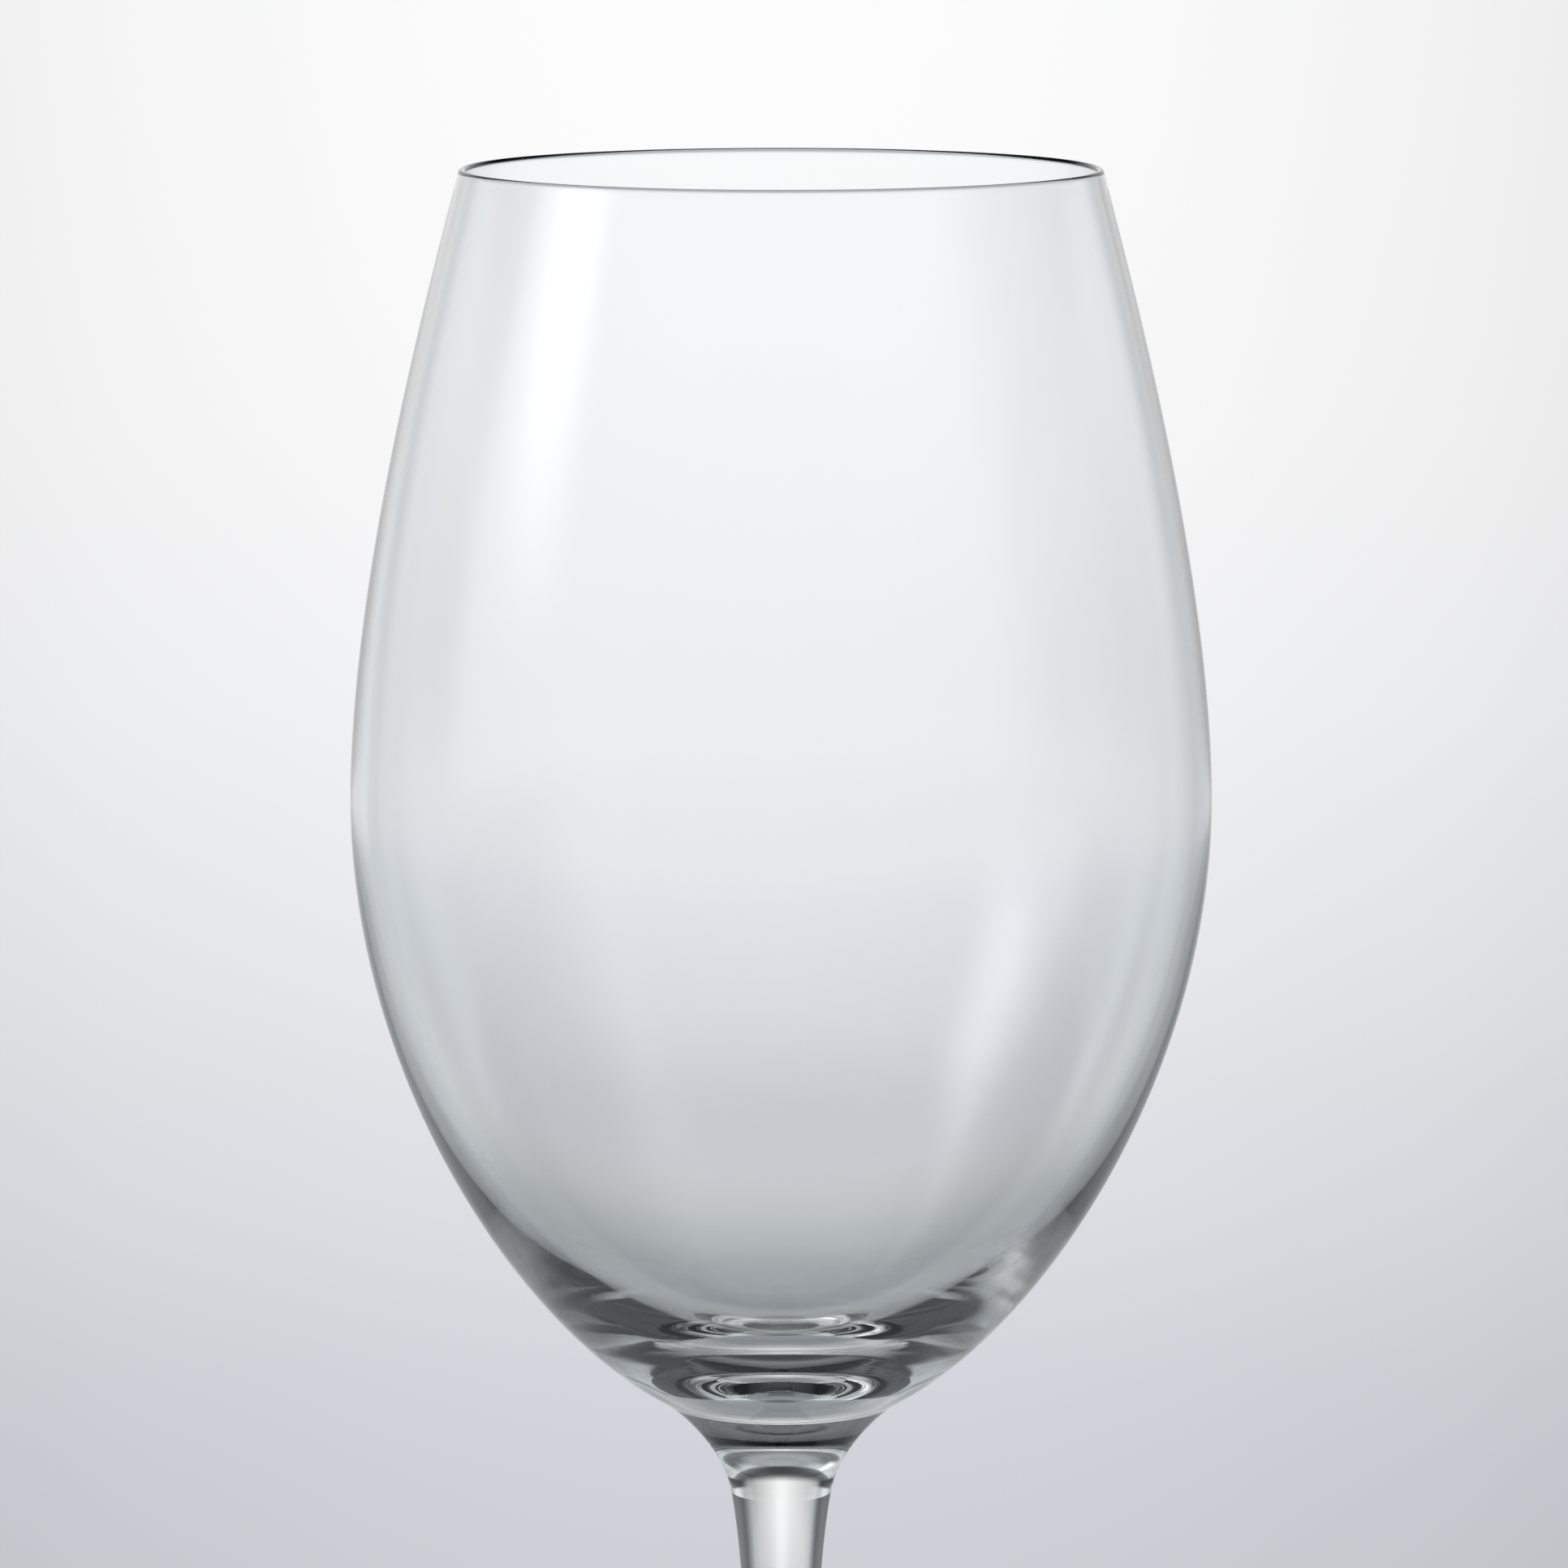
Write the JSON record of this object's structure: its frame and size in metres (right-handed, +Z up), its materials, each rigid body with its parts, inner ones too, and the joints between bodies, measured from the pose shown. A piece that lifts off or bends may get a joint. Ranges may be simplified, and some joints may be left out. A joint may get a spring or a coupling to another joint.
{
  "type": "wine glass",
  "caption": "Tall tulip-shaped stemmed glass: thin blown bowl with a heavy solid base, slim drawn stem and a round foot that stands on a ring.",
  "frame": {"origin": "centre of the ring that the foot stands on, at table height", "axes": "+Z up along the stem, through the middle of the mouth; the glass is round about Z, so X and Y are free"},
  "size_m": [0.09, 0.09, 0.226],
  "materials": {
    "bowl_glass": "clear fire-polished crystal glass",
    "stem_glass": "clear drawn crystal glass",
    "foot_glass": "clear pressed crystal glass, fire-polished"
  },
  "bodies": {
    "root": {"bowl": "bowl_glass", "stem": "stem_glass", "foot": "foot_glass"}
  },
  "joints": []
}
